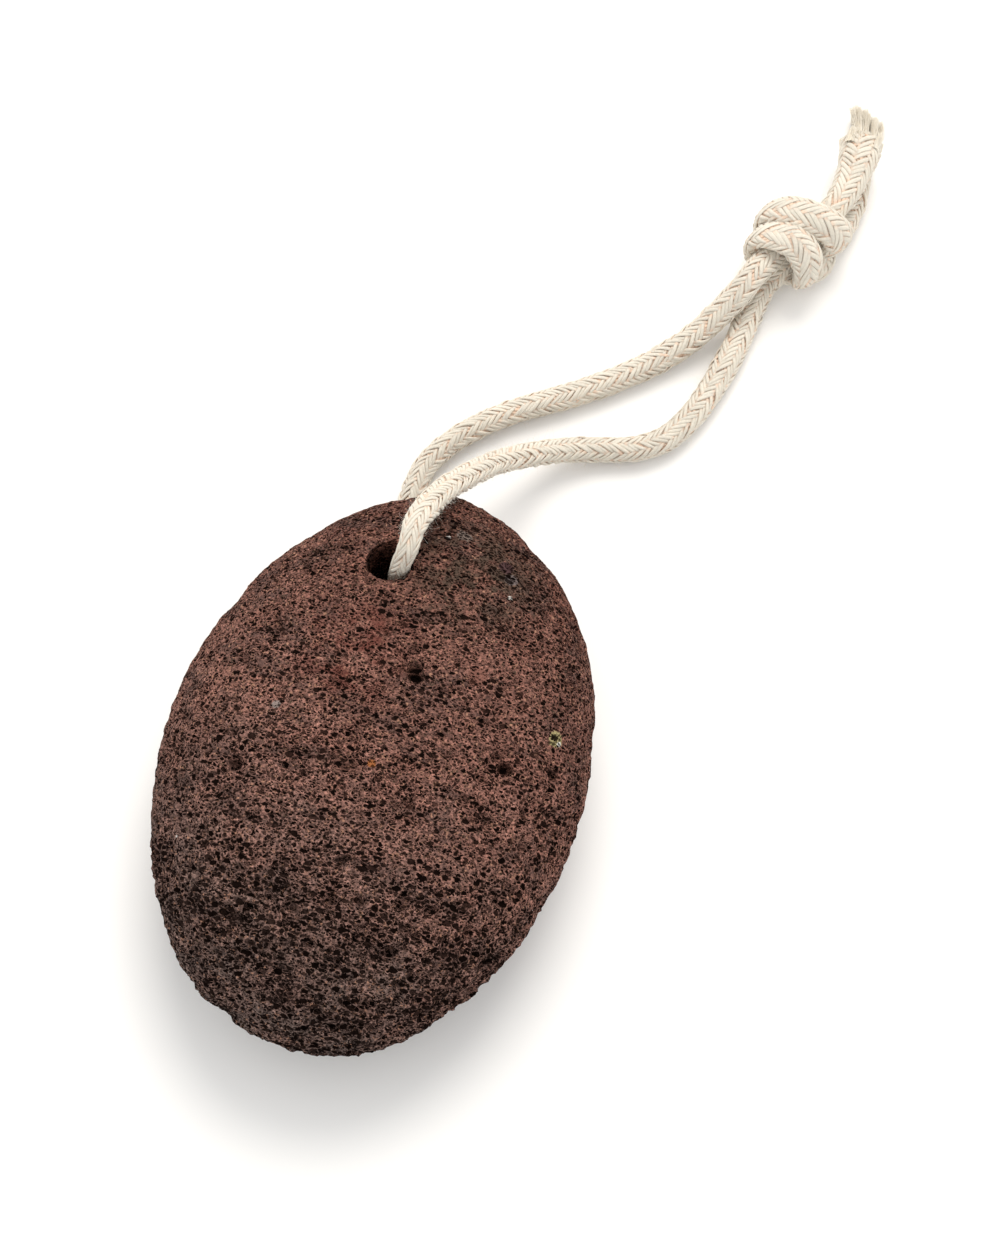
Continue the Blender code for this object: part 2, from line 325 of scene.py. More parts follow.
def on_cord(path, frames, radius, press, along, angle, lift):
    """Points beside a path: along is where on it, in its own steps, angle is round it and lift is how
    far outside its radius, all arrays of one shape. press flattens the section, as in pressed."""
    last = len(path) - 1
    at = np.clip(along, 0, last)
    low = np.minimum(at.astype(int), last - 1)
    part = (at - low)[..., None]

    def between(values):
        return values[low] * (1 - part) + values[low + 1] * part

    reach = between(radius[:, None]) + lift[..., None]
    turned = [between(frames[1]) * np.cos(angle)[..., None], between(frames[2]) * np.sin(angle)[..., None]]
    offset = (turned[0] + turned[1]) * reach
    squeeze = between(press)
    offset -= squeeze * (squeeze * offset).sum(axis=-1, keepdims=True)
    return between(path) + offset


def braid(path, radius, pitch, step, seed, press=None, turns=(0.0, 0.0)):
    """A hollow braid of yarns carried along a path, with a plain core that closes its gaps.

    Half the yarns turn one way and half the other, each a helix. The surface falls in columns that
    run along the cord: a yarn rides high in every other column, and in those between it dives under
    the yarns of the other hand, which gives the columns of V shapes. A yarn is threads laid side by
    side, and each thread a small tube. The core draws in to the path at both ends, and closes them.
    Returns points, faces and, for each point, how high it rides, from 1 down, how far out on its
    thread it is, and its yarn's own shade."""
    rng = np.random.default_rng(seed)
    frames = carried_frames(path)
    press = np.zeros_like(path) if press is None else press
    count = len(path)
    index = np.arange(count, dtype=float)
    seam = np.unwrap(np.arctan2(frames[2] @ UPPER_SIDE, frames[1] @ UPPER_SIDE))
    seam += SPINE + np.interp(index / count, HIDDEN_SHARES, turns)
    turn = 2 * np.pi * index * step / (pitch * YARNS)
    mean = radius.mean()
    slope = np.arctan(2 * np.pi * mean / (pitch * YARNS))
    width = 2 * np.pi * mean / YARNS * np.cos(slope)
    thick = width / len(THREAD_OFFSETS) / 2
    points, faces, depth, grain, shade = [], [], [], [], []
    round_thread = np.linspace(0, 2 * np.pi, THREAD_SIDES, endpoint=False)
    total = 0
    bends = np.linspace(0, count, max(FEWEST_BENDS, int(count * step / BEND_LENGTH)))

    def wander():
        return np.interp(index, bends, rng.normal(0, 1, len(bends)))

    for hand in (1, -1):
        for yarn in range(YARNS):
            own = rng.uniform(-1, 1)
            sway = wander()
            for thread_offset, drop in zip(THREAD_OFFSETS, THREAD_DROPS):
                stray = wander()
                rise = wander()
                own_thick = thick * rng.uniform(*THREAD_THICKNESS)
                offset = thread_offset * width + YARN_SWAY * sway + THREAD_SWAY * stray
                angle = hand * turn + 2 * np.pi * yarn / YARNS + offset * np.cos(slope) * hand / mean
                along = index - offset * np.sin(slope) / step
                wave = hand * np.sin(COLUMNS_ROUND / 2 * (angle - np.interp(along, index, seam)))
                ride = np.tanh(WAVE_SQUARENESS * wave) / np.tanh(WAVE_SQUARENESS)
                lift = DIVE * (ride - 1) + THREAD_RISE * rise - drop
                across = own_thick * np.cos(round_thread)[None, :]
                out = THREAD_FLATNESS * own_thick * np.sin(round_thread)[None, :]
                round_angle = angle[:, None] + across * np.cos(slope) * hand / mean
                round_along = along[:, None] - across * np.sin(slope) / step
                high = lift[:, None] - THREAD_FLATNESS * thick + out
                place = on_cord(path, frames, radius, press, round_along, round_angle, high)
                points.append(place.reshape(-1, 3))
                faces.append(tube_faces(count, THREAD_SIDES, total)[:, :: -hand])
                total += count * THREAD_SIDES
                depth.append(np.repeat(ride - DROP_SHADE * drop / MM, THREAD_SIDES))
                grain.append(np.tile(np.sin(round_thread), count))
                shade.append(np.full(count * THREAD_SIDES, own))
    around = np.linspace(0, 2 * np.pi, CORE_SIDES, endpoint=False)[None, :] + np.zeros((count, 1))
    core_along = index[:, None] + np.zeros((1, CORE_SIDES))
    filled = np.full((count, CORE_SIDES), -CORE_INSIDE)
    filled[[0, -1]] = -radius[[0, -1], None]
    core = on_cord(path, frames, radius, press, core_along, around, filled)
    points.append(core.reshape(-1, 3))
    faces.append(tube_faces(count, CORE_SIDES, total))
    core_depth = np.full((count, CORE_SIDES), CORE_RIDE)
    core_depth[:CUT_ROWS] = core_depth[-CUT_ROWS:] = CUT_RIDE
    depth.append(core_depth.ravel())
    grain.append(np.zeros(core_depth.size))
    shade.append(np.zeros(core_depth.size))
    return [np.concatenate(part) for part in (points, faces, depth, grain, shade)]


def cotton_material(settings):
    """Unbleached cotton, loosely spun and braided: matt cream threads, and in the gaps between them a
    pinkish tan that is painted shade, standing in for the warmer light that comes back out of the fibres
    there. Its fibres are too fine to show and are drawn 0.4 mm apart."""
    made, tree, shader = new_material("unbleached braided cotton")
    names = ("ride", "grain", "own_shade")
    ride, grain, own = (add(tree, "Attribute", attribute_name=name).outputs["Fac"] for name in names)
    where = add(tree, "TexCoord").outputs["Object"]
    fibre = add(tree, "TexNoise", Vector=where, Scale=2600.0, Detail=3.0, Roughness=0.6)
    patch = add(tree, "TexNoise", Vector=where, Scale=160.0, Detail=2.0)
    # Painted shade: the colour turns to the gap shade where a yarn dives under the others, on the core, and
    # down the sides of each thread.
    sunk = add(tree, "MapRange", **SMOOTH, Value=ride, From_Min=0.55, From_Max=-1.0)
    groove_shade = add(tree, "MapRange", Value=grain, From_Min=0.75, From_Max=-0.5, To_Max=0.25)
    most = add(tree, "Math", operation="MAXIMUM", i0=sunk, i1=groove_shade)
    thread, gap = linear(settings.thread_colour_hex), linear(settings.gap_shade_colour_hex)
    thread_and_gap_shade = add(tree, "Mix", data_type="RGBA", i0=most, i6=thread, i7=gap).outputs[2]
    value = add(tree, "MapRange", Value=own, From_Min=-1.0, To_Min=0.94, To_Max=1.04)
    for noise, low, high in ((fibre, 0.90, 1.04), (patch, 0.96, 1.02)):
        shade = add(tree, "MapRange", Value=noise, From_Min=0.3, From_Max=0.7, To_Min=low, To_Max=high)
        value = add(tree, "Math", operation="MULTIPLY", i0=value, i1=shade)
    colour = add(tree, "VectorMath", operation="SCALE", i0=thread_and_gap_shade, Scale=value)
    bump = add(tree, "Bump", Strength=0.3, Distance=0.06 * MM, Height=fibre)
    fill(tree, shader, Base_Color=colour, Normal=bump, Roughness=0.92, Specular_IOR_Level=0.2)
    fill(tree, shader, Subsurface_Weight=0.35, Subsurface_Radius=EVEN_SPREAD, Subsurface_Scale=0.25 * MM)
    return made


# The loop's radius, that it gains near the knot, over this share of its length, and loses in the
# hole, where it is squeezed, within these distances of the hole's axis, in millimetres.
LOOP_RADIUS, KNOT_SWELLING, SWELLING_SHARE = 2.15 * MM, 0.35 * MM, 0.28
HOLE_SQUEEZE, SQUEEZED_WITHIN, SQUEEZE_FADE = 0.45 * MM, 2, 6


class CordSettings(bpy.types.PropertyGroup):
    step: bpy.props.FloatProperty(
        name="Step", description="Distance between cross-sections", default=0.56 * MM, unit="LENGTH"
    )
    pitch: bpy.props.FloatProperty(
        name="Braid pitch", description="From one V to the next", default=2.3 * MM, unit="LENGTH"
    )
    thread_colour_hex: bpy.props.StringProperty(
        name="Thread colour", description="sRGB colour of the raised cotton", default="#dad3c5"
    )
    # The gap colour is painted shade: the warm tan laid in the gaps between the threads.
    gap_shade_colour_hex: bpy.props.StringProperty(
        name="Gap colour", description="sRGB colour between the threads", default="#e6cab3"
    )


def cotton(context):
    """The cotton, made when the first piece asks for it."""
    found = bpy.data.materials.get("unbleached braided cotton")
    return found or cotton_material(context.scene.pumice_cord)


class PUMICE_OT_cord(bpy.types.Operator):
    """Make the braided cord that runs from the knot through the stone and back."""

    bl_idname = "pumice.cord"
    bl_label = "Cord loop"

    def execute(self, context):
        settings = context.scene.pumice_cord
        path = smooth_route(CORD_ROUTE, settings.step)
        share = np.linspace(0, 1, len(path))
        knotted = np.minimum(share, 1 - share)
        radius = LOOP_RADIUS + KNOT_SWELLING * np.clip(1 - knotted / SWELLING_SHARE, 0, 1)
        from_hole = np.linalg.norm(path[:, :2] - HOLE, axis=1) / MM
        radius -= HOLE_SQUEEZE * np.clip(1 - (from_hole - SQUEEZED_WITHIN) / SQUEEZE_FADE, 0, 1)
        turns = (0.0, np.pi / 4)
        parts = braid(path, radius, settings.pitch, settings.step, 3, turns=turns)
        points, faces, ride, grain, shade = parts
        values = {"ride": ride, "grain": grain, "own_shade": shade}
        loop = mesh_object("cord_braid", points, faces, cotton(context), **values)
        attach(loop, BODY)
        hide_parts("cord_loop")
        return {"FINISHED"}


# Stone


def stone_grid(cells):
    """Unit directions and quads of a cube's six grids pushed out to a ball: on each face the two
    parameters are angles of a tangent, which keeps the cells even, and shared edges are one point.
    The cube is stretched to the pebble first, and its middle rows are drawn up, so that more of
    them lie on the side that is seen."""
    line = np.arange(cells + 1)
    u, v = np.meshgrid(line, line, indexing="ij")
    flat, quads = [], []
    corner = np.arange((cells + 1) ** 2).reshape(cells + 1, cells + 1)
    quad = np.stack([corner[:-1, :-1], corner[1:, :-1], corner[1:, 1:], corner[:-1, 1:]], -1)
    quad = quad.reshape(-1, 4)
    for axis in range(3):
        for far in (0, cells):
            face = np.zeros((*u.shape, 3), int)
            face[..., axis] = far
            face[..., (axis + 1) % 3] = u
            face[..., (axis + 2) % 3] = v
            flat.append(face.reshape(-1, 3))
            quads.append((quad if far else quad[:, ::-1]) + len(quads) * len(flat[0]))
    flat, quads = np.concatenate(flat), np.concatenate(quads)
    whole, index = np.unique(flat, axis=0, return_inverse=True)
    cube = np.tan((whole / cells * 2 - 1) * np.pi / 4)
    stretched = cube * HALF * np.array([1, 1, 1.25])
    stretched[:, 2] += 0.30 * HALF[2] * (1 - np.abs(cube[:, 2]))
    return stretched / np.linalg.norm(stretched, axis=1)[:, None], index.reshape(-1)[quads]


def pebble(direction):
    """The pebble's surface point along each unit direction from its centre: an ellipse in plan, whose
    radius and the height, each to PROFILE_POWER, add up to one, with soft lumps and small dents."""
    plan = np.hypot(direction[:, 0] / HALF[0], direction[:, 1] / HALF[1])
    tall = np.abs(direction[:, 2] / HALF[2])
    reach = (plan**PROFILE_POWER + tall**PROFILE_POWER) ** (-1 / PROFILE_POWER)
    points = direction * reach[:, None]
    shift = np.zeros(len(points))
    for place, spread, height in LUMPS:
        away = np.linalg.norm(points - np.array(place) * MM, axis=1)
        shift += height * MM * np.exp(-((away / (spread * MM)) ** 2))
    for place, radius, depth in CHIPS:
        away = np.linalg.norm(points - np.array(place) * MM, axis=1)
        shift -= depth * MM * np.exp(-((away / (radius * MM)) ** 4))
    return points + direction * shift[:, None]


def turned_hole(sides, rise):
    """The cutter for the cord hole: its profile turned round the hole's axis, as a closed mesh."""
    heights, radii = np.array(HOLE_PROFILE).T
    z = np.arange(heights[0], heights[-1] + rise, rise)
    radius = np.interp(z, heights, radii) * MM
    angle = np.linspace(0, 2 * np.pi, sides, endpoint=False)
    x = HOLE[0] + radius[:, None] * np.cos(angle)
    y = HOLE[1] + radius[:, None] * np.sin(angle)
    level = np.repeat((CENTRE_HEIGHT + z * MM)[:, None], sides, axis=1)
    points = np.stack([x, y, level], -1).reshape(-1, 3)
    faces = tube_faces(len(z), sides).tolist()
    top = (len(z) - 1) * sides
    return points, faces + [list(range(sides))[::-1], list(range(top, top + sides))]


def drilled(points, faces, finish):
    """The stone's grid with the cord hole cut out of it, as arrays of points and triangles."""
    whole = mesh_object("stone_blank", points, faces, finish)
    cutter_points, cutter_faces = turned_hole(HOLE_SIDES, HOLE_ROW)
    mesh = bpy.data.meshes.new("hole_cutter")
    mesh.from_pydata(cutter_points.tolist(), [], cutter_faces)
    cutter = bpy.data.objects.new("hole_cutter", mesh)
    bpy.context.scene.collection.objects.link(cutter)
    cut = whole.modifiers.new("cord hole", "BOOLEAN")
    cut.operation, cut.solver, cut.object = "DIFFERENCE", "EXACT", cutter
    graph = bpy.context.evaluated_depsgraph_get()
    result = bpy.data.meshes.new_from_object(whole.evaluated_get(graph))
    result.calc_loop_triangles()
    place = np.empty(len(result.vertices) * 3)
    result.vertices.foreach_get("co", place)
    normal = np.empty(len(result.vertices) * 3)
    result.vertices.foreach_get("normal", normal)
    triangles = np.empty(len(result.loop_triangles) * 3, int)
    result.loop_triangles.foreach_get("vertices", triangles)
    for obj in (whole, cutter):
        bpy.data.objects.remove(obj)
    return place.reshape(-1, 3), normal.reshape(-1, 3), triangles.reshape(-1, 3)


# Cells after which a lattice of random values repeats, along each axis.
REPEAT = 32


def bubbles(points, normals, cell, radii, stretch, seed):
    """How far each point sinks, along its normal, to the far wall of the gas bubbles it lies in.

    Space is a lattice of cells, each with one bubble at a random place in it and of a random radius;
    stretch pulls the bubbles out along an axis, as flowing lava does. A point inside one moves to
    where its normal's line leaves the ball: the larger root of a quadratic."""
    table = np.random.default_rng(seed).random((REPEAT, REPEAT, REPEAT, 4))
    scale = 1.0 / (cell * np.array(stretch))
    place = points * scale
    ray = -normals * scale
    base = np.floor(place).astype(int)
    sunk = np.zeros(len(points))
    a = (ray**2).sum(axis=1)
    for step in np.ndindex(3, 3, 3):
        home = base + np.array(step) - 1
        random = table[tuple((home % REPEAT).T)]
        away = place - (home + random[:, :3])
        radius = (radii[0] + (radii[1] - radii[0]) * random[:, 3] ** 2) / cell
        b = (away * ray).sum(axis=1)
        c = (away**2).sum(axis=1) - radius**2
        inside = c < 0
        root = np.sqrt(np.maximum(b * b - a * c, 0))
        sunk = np.maximum(sunk, np.where(inside, (root - b) / a, 0))
    return sunk


def rough_noise(points, cell, seed):
    """Soft random hills from -1 to 1: random heights at the corners of a lattice of cells, blended
    between them by a curve that is level at each corner."""
    table = np.random.default_rng(seed).uniform(-1, 1, (REPEAT, REPEAT, REPEAT))
    place = points / cell
    base = np.floor(place).astype(int)
    part = place - base
    part = part * part * (3 - 2 * part)
    total = np.zeros(len(points))
    for corner in np.ndindex(2, 2, 2):
        home = (base + np.array(corner)) % REPEAT
        weight = np.prod(np.where(np.array(corner), part, 1 - part), axis=1)
        total += weight * table[tuple(home.T)]
    return total


def openness(points):
    """How open the rock is at each point, from 0 to 1: a band across the middle, the right edge and
    the whole near end hold more and wider bubbles, and the far left is tighter. Each is a bell curve
    of the place in millimetres, and the near end a smooth step."""
    x, y = points[:, 0] / MM, points[:, 1] / MM
    band = 0.20 * np.exp(-(((y + 4.5 - 0.1 * x) / 5.5) ** 2))
    near_end = 0.46 / (1 + np.exp((y + 20 - 0.08 * x) / 4))
    tight = 0.03 * np.exp(-((x + 18) ** 2 + (y - 22) ** 2) / 15**2)
    edge = 0.08 * np.exp(-((x - 30) ** 2 / 8**2 + (y + 6) ** 2 / 30**2))
    return np.clip(0.34 + band + near_end + edge - tight, 0, 1)


# The lattices of pores too small for the mesh, in millimetres: how far apart they are, their least radius,
# the greatest in closed and in open rock, how soft their edge is, and how deep the shallowest is, of 1.
# Depth sets both a pore's bowl and its painted shade.
PORE_LATTICES = (
    (0.36, 0.04, 0.24, 0.25, 0.02, 0.7),
    (0.60, 0.04, 0.37, 0.40, 0.025, 0.8),
    (1.0, -0.5, 0.36, 0.74, 0.035, 0.9),
)
# In open rock the least radius is this share of the greatest. The wall left between two pores and the rim
# round one are in shares of their spacing, and the slope of a bowl in millimetres. The rim is lightened,
# partly as wear and partly as painted highlight where the thin walls catch light.
LEAST_IN_OPEN = 0.6
PORE_WALL, PORE_RIM, BOWL_EDGE = 0.07, (-0.30, -0.03), 0.20
# Stains: their place, the distances at which one begins and is full, between which values of the
# patchy noise it comes through, how strong it is, and its colour.
STAINS = (
    ((-7.0, 13.0, 34.0), (13.0, 3.0), (0.42, 0.62), 0.7, "#6c352b"),
    ((7.0, 33.0, 32.0), (15.0, 4.0), (0.40, 0.56), 0.8, "#4a3e33"),
)
STREAK_COLOUR, PALE_GRAIN, OLIVE_GRAIN = "#4a3d3a", "#a67a64", "#4a3a2c"


def stone_material(settings):
    """Vesicular lava, tumbled smooth: iron gives the glassy rock its dark red brown, which turns grey brown
    towards one end, and countless burst gas bubbles open it up. The near black in the bubbles is painted
    shade, the deeper the darker, and their rims are lightened, partly as wear and partly as painted
    highlight. Grains are 0.3 mm across, and the streaks of its flow about 4 mm thick and 14 mm long."""
    made, tree, shader = new_material("tumbled vesicular lava")
    names = ("sunk", "zone", "open")
    sunk, zone, opening = (add(tree, "Attribute", attribute_name=name).outputs["Fac"] for name in names)
    where = add(tree, "TexCoord").outputs["Object"]
    mm = add(tree, "VectorMath", operation="SCALE", i0=where, Scale=1 / MM)
    flow = add(tree, "Mapping", Vector=mm, Scale=(0.66, 1.0, 1.0), Rotation=(0.0, 0.0, 0.10))
    warp = add(tree, "TexNoise", Vector=flow, Scale=1.1, Detail=2.0).outputs["Color"]
    bent = add(tree, "VectorMath", operation="MULTIPLY_ADD", i0=warp, i1=(0.6, 0.6, 0.6), i2=flow)
    streaks = add(tree, "Mapping", Vector=mm, Scale=(0.07, 0.26, 0.26))
    streaked = add(tree, "TexNoise", Vector=streaks, Scale=1.0, Detail=4.0)
    patches = add(tree, "TexNoise", Vector=mm, Scale=0.16, Detail=5.0, Roughness=0.65)

    def swing(noise, most):
        """The inputs that turn a noise into a number from -most to most."""
        return {"Value": noise, "From_Min": 0.3, "From_Max": 0.7, "To_Min": -most, "To_Max": most}

    for noise, most in ((streaked, 0.22), (patches, 0.12)):
        drift = add(tree, "MapRange", **swing(noise, most))
        opening = add(tree, "Math", operation="ADD", i0=opening, i1=drift)

    def pores(spacing, least, closed, opened, soft, shallow):
        """How deep in a pore a point is, 0 to 1, how near its rim, and how deep its bowl is there.
        Each cell of a lattice holds one, round but kept off the cell's walls, of a random radius and
        depth, as PORE_LATTICES says."""
        cells = add(tree, "TexVoronoi", feature="F1", Vector=bent, Scale=1 / spacing)
        walls = add(tree, "TexVoronoi", feature="DISTANCE_TO_EDGE", Vector=bent, Scale=1 / spacing)
        own = add(tree, "SeparateColor", i0=cells.outputs["Color"])
        ends = (least / spacing, LEAST_IN_OPEN * opened / spacing), (closed / spacing, opened / spacing)
        small, large = (add(tree, "MapRange", Value=opening, To_Min=a, To_Max=b) for a, b in ends)
        size = add(tree, "MapRange", Value=own, To_Min=small, To_Max=large)
        deep = add(tree, "MapRange", **SMOOTH, Value=own.outputs[1], From_Max=0.8, To_Min=shallow)
        in_round = add(tree, "Math", operation="SUBTRACT", i0=size, i1=cells)
        in_walls = add(tree, "Math", operation="SUBTRACT", i0=walls, i1=PORE_WALL)
        inner = add(tree, "Math", operation="MINIMUM", i0=in_round, i1=in_walls)
        ends = (-soft / spacing, 2.0 * soft / spacing), (-BOWL_EDGE / spacing, BOWL_EDGE / spacing), PORE_RIM
        edge, hollow, rim = (
            add(tree, "MapRange", **SMOOTH, Value=inner, From_Min=a, From_Max=b) for a, b in ends
        )
        shown = add(tree, "Math", operation="MULTIPLY", i0=edge, i1=deep)
        depth = add(tree, "Math", operation="MULTIPLY", i0=deep, i1=spacing)
        return shown, rim, add(tree, "Math", operation="MULTIPLY", i0=hollow, i1=depth)

    # Painted shade: each pore darkens towards the pore shade by its depth, and so does the mesh where it is
    # sunk into its bubbles and pits.
    lattices = [pores(*lattice) for lattice in PORE_LATTICES]
    dark, _, bowls = lattices[0]
    for shown, _, bowl in lattices[1:]:
        dark = add(tree, "Math", operation="MAXIMUM", i0=dark, i1=shown)
        bowls = add(tree, "Math", operation="MAXIMUM", i0=bowls, i1=bowl)
    for low, high, most in ((0.5, 1.4, 0.62), (1.2, 1.6, 1.0)):
        shaded = add(tree, "MapRange", **SMOOTH, Value=sunk, From_Min=low, From_Max=high, To_Max=most)
        dark = add(tree, "Math", operation="MAXIMUM", i0=dark, i1=shaded)
    drift = add(tree, "MapRange", **swing(patches, 0.14))
    base = add(tree, "ValToRGB", Fac=add(tree, "Math", operation="ADD", i0=zone, i1=drift))
    stops = base.color_ramp.elements
    stops[0].position, stops[0].color = 0.0, linear(settings.near_colour_hex)
    stops[1].position, stops[1].color = 1.0, linear(settings.far_colour_hex)
    stops.new(0.5).color = linear(settings.middle_colour_hex)
    grains = add(tree, "TexVoronoi", feature="F1", Vector=mm, Scale=3.2).outputs["Color"]
    grain = add(tree, "SeparateColor", i0=grains)
    fleck = add(tree, "TexNoise", Vector=mm, Scale=2.2, Detail=4.0, Roughness=0.7)
    # Rims lightened: partly wear, partly painted highlight on the thin walls between pores; rock away from
    # them is darkened.
    worn_and_lit_rims = add(tree, "Math", operation="MAXIMUM", i0=lattices[1][1], i1=lattices[2][1])
    bright = add(tree, "MapRange", Value=grain, To_Min=0.45, To_Max=1.50)
    for value, least, most, low, high in (
        (fleck, 0.3, 0.7, 0.60, 1.55), (streaked, 0.36, 0.66, 1.18, 0.84), (worn_and_lit_rims, 0.0, 1.0, 0.76, 1.50)
    ):
        shade = {"Value": value, "From_Min": least, "From_Max": most, "To_Min": low, "To_Max": high}
        shade = add(tree, "MapRange", **shade)
        bright = add(tree, "Math", operation="MULTIPLY", i0=bright, i1=shade)
    rock = add(tree, "VectorMath", operation="SCALE", i0=base, Scale=bright)
    shown = {"Value": streaked, "From_Min": 0.48, "From_Max": 0.66, "To_Max": 0.35}
    layers = [(add(tree, "MapRange", **SMOOTH, **shown), STREAK_COLOUR)]
    for channel, least, most, colour in ((1, 0.90, 0.99, PALE_GRAIN), (2, 0.93, 1.0, OLIVE_GRAIN)):
        shown = {"Value": grain.outputs[channel], "From_Min": least, "From_Max": most}
        layers.append((add(tree, "MapRange", **SMOOTH, **shown), colour))
    for place, (outer, inner), (least, most), strength, colour in STAINS:
        away = add(tree, "VectorMath", operation="DISTANCE", i0=mm, i1=place).outputs["Value"]
        near = add(tree, "MapRange", **SMOOTH, Value=away, From_Min=outer, From_Max=inner)
        shown = {"Value": patches, "From_Min": least, "From_Max": most, "To_Max": strength}
        torn = add(tree, "MapRange", **SMOOTH, **shown)
        layers.append((add(tree, "Math", operation="MULTIPLY", i0=near, i1=torn), colour))
    # Crystals and crumbs, and the one painted highlight beside the olive crystal.
    for x, y, radius, colour in MINERALS_AND_GLINT:
        away = add(tree, "VectorMath", operation="DISTANCE", i0=mm, i1=on_top(x, y).tolist())
        torn = {"i0": fleck, "i1": 0.9 * radius, "i2": away.outputs["Value"]}
        ragged = add(tree, "Math", operation="MULTIPLY_ADD", **torn)
        shown = {"Value": ragged, "From_Min": 1.35 * radius, "From_Max": 1.25 * radius}
        layers.append((add(tree, "MapRange", **SMOOTH, **shown), colour))
    # Last comes the painted shade of the pores and pits, over every other colour.
    for factor, colour in (*layers, (dark, settings.pore_shade_colour_hex)):
        rock = add(tree, "Mix", data_type="RGBA", i0=factor, i6=rock, i7=linear(colour)).outputs[2]
    grit = add(tree, "Math", operation="MULTIPLY", i0=bright, i1=0.12)
    height = add(tree, "Math", operation="MULTIPLY_ADD", i0=bowls, i1=-1.0, i2=grit)
    bump = add(tree, "Bump", Strength=1.0, Distance=settings.relief, Height=height)
    gloss = add(tree, "MapRange", **SMOOTH, Value=dark, From_Max=0.8, To_Min=0.22, To_Max=0.0)
    fill(tree, shader, Base_Color=rock, Normal=bump, Specular_IOR_Level=gloss, Roughness=0.88)
    return made


# Pits of their own, besides the scattered ones: place in the plan of the upper side and radius in
# millimetres, and how deep each is for its radius, which also deepens its painted shade.
PITS = (
    (-2.6, -5.4, 1.7, 0.8), (-0.9, -5.0, 1.4, 0.8), (3.2, 14.1, 1.15, 1.8), (3.7, 11.9, 1.15, 1.8),
    (2.2, 13.0, 0.8, 1.8), (-3.3, 17.5, 0.9, 0.9), (-20.0, -10.0, 1.1, 1.4),
    (-18.0, -11.6, 0.9, 1.1), (22.2, 2.7, 1.1, 1.5), (20.6, 4.0, 0.8, 1.2), (18.6, -0.6, 0.9, 1.1),
    (28.5, 5.0, 1.1, 1.5), (26.6, -2.9, 1.1, 1.1), (-2.9, -29.1, 1.3, 0.9),
    (-12.7, -31.6, 1.2, 0.9), (2.7, -28.5, 1.0, 1.0), (13.4, -31.6, 1.3, 1.0),
    (8.6, -30.4, 0.9, 1.0), (-24.0, 8.0, 0.9, 1.1), (26.0, 20.0, 1.0, 1.0),
)

# Crystals and crumbs of other rock in the lava, and one painted highlight, the small white spot just right
# of the olive crystal: place in the plan and radius in millimetres, and colour.
MINERALS_AND_GLINT = (
    (27.0, 10.4, 1.5, "#a3966a"), (27.7, 9.9, 0.5, "#f2efe4"), (3.0, 39.0, 1.5, "#77675f"),
    (0.6, 37.6, 0.5, "#c9c2bd"), (-16.0, 1.0, 0.8, "#8f8079"), (1.7, -4.2, 0.8, "#a9683c"),
    (13.2, 29.9, 0.5, "#c4bdb5"), (12.4, 33.4, 1.3, "#6f625f"), (10.9, 35.4, 1.4, "#4c3434"),
    (12.7, 14.8, 1.9, "#80564a"), (-24.4, -22.2, 0.35, "#c9c2bd"),
)


def on_top(x, y):
    """The place on the pebble's upper side over a point of its plan, all in millimetres: the
    pebble's plain curve, solved for the height, and then its real surface in that direction."""
    plan = np.hypot(x * MM / HALF[0], y * MM / HALF[1])
    tall = (1 - plan**PROFILE_POWER) ** (1 / PROFILE_POWER)
    plain = np.array([[x * MM, y * MM, HALF[2] * tall]])
    return (pebble(plain / np.linalg.norm(plain))[0] + (0, 0, CENTRE_HEIGHT)) / MM


# The bubbles in the mesh: their least and greatest radius, and how far they are drawn out. None
# but the pits above is sunk deeper than DEEPEST.
SMALL_BUBBLES = (0.25 * MM, 0.9 * MM), (1.35, 1, 1)
LARGE_BUBBLES = (0.1 * MM, 1.0 * MM), (1.6, 1, 1)
DEEPEST = 1.4 * MM
PIT_SHAPE = (0.8, 1.0, 1.0)
# The way in plan in which the rock's colour turns, from 0 at the near end to 1 at the hole's.
ZONE_WAY = (0.08, 0.45)
# How strongly bubbles and hills show where rock is open: a factor on openness, what is added to it,
# and the least and greatest share that comes of it.
SMALL_SHOWN, LARGE_SHOWN, HILLS_SHOWN = (1.5, 0.0, 0.3, 1.0), (2.4, -0.7, 0.0, 1.0), (1.4, 0.0, 0.4, 1.1)
# The rough skin: hills of two sizes, each with its seed and height, and grit, in millimetres.
HILLS = ((1.9 * MM, 8, 0.30), (1.0 * MM, 9, 0.26))
GRIT = 0.07


class StoneSettings(bpy.types.PropertyGroup):
    cells: bpy.props.IntProperty(
        name="Grid cells", description="Cells along an edge of the cube behind the stone", default=122
    )
    pore_spacing: bpy.props.FloatProperty(
        name="Pore spacing", description="Distance between small bubbles", default=1.5 * MM, unit="LENGTH"
    )
    pit_spacing: bpy.props.FloatProperty(
        name="Pit spacing", description="Distance between large pits", default=3.6 * MM, unit="LENGTH"
    )
    relief: bpy.props.FloatProperty(
        name="Relief", description="Depth of the fine pores and grains", default=0.7 * MM, unit="LENGTH"
    )
    far_colour_hex: bpy.props.StringProperty(
        name="Far colour", description="sRGB colour of the rock at the hole's end", default="#5d3a30"
    )
    middle_colour_hex: bpy.props.StringProperty(
        name="Middle colour", description="sRGB colour of the rock half way", default="#7e584d"
    )
    near_colour_hex: bpy.props.StringProperty(
        name="Near colour", description="sRGB colour of the rock at the other end", default="#61514b"
    )
    # Painted shade: the near black laid in the pores and pits, in place of the shade deep inside them.
    pore_shade_colour_hex: bpy.props.StringProperty(
        name="Pore colour", description="sRGB colour inside the pores", default="#120b09"
    )


